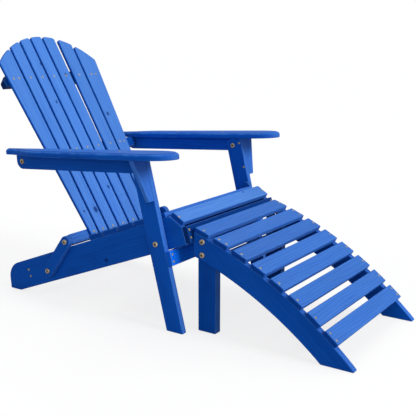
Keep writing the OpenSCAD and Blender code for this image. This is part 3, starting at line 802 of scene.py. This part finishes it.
# How boards look, by the start of their names; a later row adds to an earlier one. facing is the side
# that shows, along the grain's direction, ease the edges' rounding, top, step and parts the upper edge's
# own profile, then the painted highlight on the face that shows, and the brightness: paint shade plus painted
# shade and light.
LOOKS = (
    (("armrest",), {"facing": Z, "ease": 3 * MM, "top": 8 * MM, "step": 1.6 * MM, "parts": 5, "fade": 0.4}),
    (("back_slat",), {"facing": X, "ease": 3.2 * MM, "fade": 0.8}),
    (("top_crossbar", "middle_crossbar", "lower_crossbar"), {"facing": X}),
    (("seat_slat", "front_slat", "footrest_slat", "rest_blocks"), {"facing": Z + 0.2 * X}),
    (("footrest_rail",), {"along": Vector((0.78, 0, -0.62))}),
    (("leg", "arm_bracket"), {"ease": 2.8 * MM}),
    (("rest_blocks",), {"ease": 1.5 * MM, "tone": 0.8}),
    # These rows set painted light and shade: paler painted highlights, and brightness darkened for boards in
    # shade (top crossbar, apron, middle crossbar, footrest legs, near arm rail) or raised as painted light
    # (cross board, far arm rail, far armrest, near bracket)
    (("front_slat",), {"fade": 0.9}),
    (("footrest_slat",), {"fade": 0.55, "tone": 0.9}),
    (("seat_slat",), {"fade": 0.3}),
    (("seat_slat_5",), {"fade": 0.7}),
    (("arm_bracket",), {"fade": 0.4}),
    (("arm_bracket_near",), {"tone": 1.1}),
    (("lower_crossbar",), {"fade": 0.5}),
    (("middle_crossbar",), {"tone": 0.7}),
    (("top_crossbar",), {"tone": 0.3}),
    (("arm_rail_near",), {"tone": 0.85}),
    (("arm_rail_far",), {"fade": 0.25, "tone": 1.05}),
    (("armrest_far",), {"tone": 1.1}),
    (("leg_far",), {"fade": 0.25}),
    (("link",), {"tone": 0.9}),
    (("apron",), {"tone": 0.45}),
    (("cross_board",), {"tone": 1.75}),
    (("footrest_leg_near",), {"tone": 0.85}),
    (("footrest_leg_far",), {"tone": 0.6}),
)

# Knots as (along, across, radius) in metres from each board's middle; along runs down the back slats
KNOTS = {
    "back_slat_1": [(0.266, 0.017, 0.004)],
    "back_slat_2": [(0.285, 0.010, 0.010)],
    "back_slat_3": [(-0.270, 0.022, 0.006), (-0.119, 0.010, 0.005)],
    "back_slat_4": [(0.228, 0.008, 0.006)],
    "back_slat_5": [(-0.221, 0.002, 0.005)],
    "back_slat_7": [(-0.071, -0.023, 0.007)],
    "seat_rail_near": [(0.077, -0.028, 0.005)],
    "front_slat": [(0.140, 0.017, 0.004)],
}

looks = {n: {"knots": KNOTS.get(n, [])} for n in body_of}
for starts, values in LOOKS:
    for n in looks:
        if n.startswith(starts):
            looks[n].update(values)

for node in body_of:
    if "screw" in node:
        make_screws(node)
    elif "bolt" in node:
        make_bolts(node)
    elif "arm_bracket" in node:
        make_gusset(node, looks[node])
    else:
        make_board(node, looks[node])


# ---------------------------------------------------------------- floor, light and camera

FLOOR_SIZE, FLOOR_DROP = 30.0, 0.6 * MM       # half its side, and the gap that keeps it off the feet
FLOOR_WHITE, FLOOR_SHADE = (0.90, 0.90, 0.905, 1), (0.885, 0.885, 0.89, 1)
FLOOR_BOUNCE = (0.4, 0.4, 0.4, 1)             # what the floor sends up to the chair
FLOOR_GLOW = 0.8                              # how much of the floor seen from the camera is lit evenly
SKY, SKY_STRENGTH = (0.95, 0.97, 1.0, 1), 0.42
WHITE = (1, 1, 1, 1)


def floor():
    """A pale floor. Seen directly it is mostly even white with a soft shadow; it lights the chair less."""
    t = Tree("studio_floor")
    at = t.tree.nodes.new("ShaderNodeTexCoord").outputs["Object"]
    mottle = t.ramp(t.noise(at, 3.0, 2.0), 0.3, 0.7)
    t.link(t.mix(mottle, FLOOR_WHITE, FLOOR_SHADE), t.shader.inputs["Base Color"])
    t.shader.inputs["Roughness"].default_value = 0.8
    t.shader.inputs["Specular IOR Level"].default_value = 0.1
    nodes = t.tree.nodes
    glow, bounce = nodes.new("ShaderNodeEmission"), nodes.new("ShaderNodeBsdfDiffuse")
    seen, either = nodes.new("ShaderNodeMixShader"), nodes.new("ShaderNodeMixShader")
    glow.inputs[0].default_value = WHITE
    glow.inputs[1].default_value = 1.0
    bounce.inputs[0].default_value = FLOOR_BOUNCE
    seen.inputs[0].default_value = FLOOR_GLOW
    t.link(t.shader.outputs[0], seen.inputs[1])
    t.link(glow.outputs[0], seen.inputs[2])
    t.link(nodes.new("ShaderNodeLightPath").outputs["Is Camera Ray"], either.inputs[0])
    t.link(bounce.outputs[0], either.inputs[1])
    t.link(seen.outputs[0], either.inputs[2])
    t.link(either.outputs[0], t.output.inputs[0])
    mesh = bpy.data.meshes.new("floor")
    corners = [(x * FLOOR_SIZE, y * FLOOR_SIZE, 0) for x, y in ((-1, -1), (1, -1), (1, 1), (-1, 1))]
    mesh.from_pydata(corners, [], [(0, 1, 2, 3)])
    mesh.materials.append(t.material)
    obj = bpy.data.objects.new("floor", mesh)
    bpy.context.scene.collection.objects.link(obj)
    obj.location.z = -FLOOR_DROP


def sun_light(name, towards, spread, strength):
    """An even, very soft light from one direction, as from a large far softbox."""
    data = bpy.data.lights.new(name, "SUN")
    data.angle = math.radians(spread)
    data.energy = strength
    obj = bpy.data.objects.new(name, data)
    obj.rotation_mode = "QUATERNION"
    obj.rotation_quaternion = Vector(towards).to_track_quat("Z", "Y")
    bpy.context.scene.collection.objects.link(obj)


def world():
    """A soft even glow on the chair; the backdrop itself is seen as pure white."""
    w = bpy.data.worlds.new("studio")
    bpy.context.scene.world = w
    w.use_nodes = True
    tree = w.node_tree
    tree.nodes.clear()
    out = tree.nodes.new("ShaderNodeOutputWorld")
    mix = tree.nodes.new("ShaderNodeMixShader")
    seen = tree.nodes.new("ShaderNodeBackground")
    seen.inputs[0].default_value = WHITE
    seen.inputs[1].default_value = 1.0
    glow = tree.nodes.new("ShaderNodeBackground")
    glow.inputs[0].default_value = SKY
    glow.inputs[1].default_value = SKY_STRENGTH
    path = tree.nodes.new("ShaderNodeLightPath")
    tree.links.new(path.outputs["Is Camera Ray"], mix.inputs[0])
    tree.links.new(glow.outputs[0], mix.inputs[1])
    tree.links.new(seen.outputs[0], mix.inputs[2])
    tree.links.new(mix.outputs[0], out.inputs[0])


CAMERA_PLACE = (1.4247, -2.0294, 0.8834)
CAMERA_YAW, CAMERA_PITCH, CAMERA_ROLL = (math.radians(a) for a in (33.098, 13.765, 0.297))
SENSOR, FOCAL_IN_WIDTHS = 36.0, 1.840625      # sensor width in mm, and focal length in sensor widths
CAMERA_SHIFT = (-0.0272, 0.0328)


def camera():
    """The viewpoint: in front of the chair, to its right, a little above the armrests."""
    yaw, pitch, roll = CAMERA_YAW, CAMERA_PITCH, CAMERA_ROLL
    back = Vector((math.sin(yaw) * math.cos(pitch), -math.cos(yaw) * math.cos(pitch), math.sin(pitch)))
    right = Vector((math.cos(yaw), math.sin(yaw), 0))
    up = back.cross(right)
    r = right * math.cos(roll) + up * math.sin(roll)
    u = up * math.cos(roll) - right * math.sin(roll)
    data = bpy.data.cameras.new("camera")
    data.sensor_width = SENSOR
    data.lens = FOCAL_IN_WIDTHS * SENSOR
    data.shift_x, data.shift_y = CAMERA_SHIFT
    data.clip_start, data.clip_end = 0.05, 100
    obj = bpy.data.objects.new("camera", data)
    turned = Matrix((r, u, back)).transposed().to_4x4()
    obj.matrix_world = Matrix.Translation(CAMERA_PLACE) @ turned
    bpy.context.scene.collection.objects.link(obj)
    bpy.context.scene.camera = obj


floor()
world()
sun_light("key", (0.85, 0.02, 0.47), 22, 2.3)
sun_light("top", (-0.25, 0.35, 0.90), 50, 1.1)
sun_light("fill", (0.35, -1.0, 0.25), 60, 0.75)
camera()
bpy.context.scene.view_settings.view_transform = "Standard"
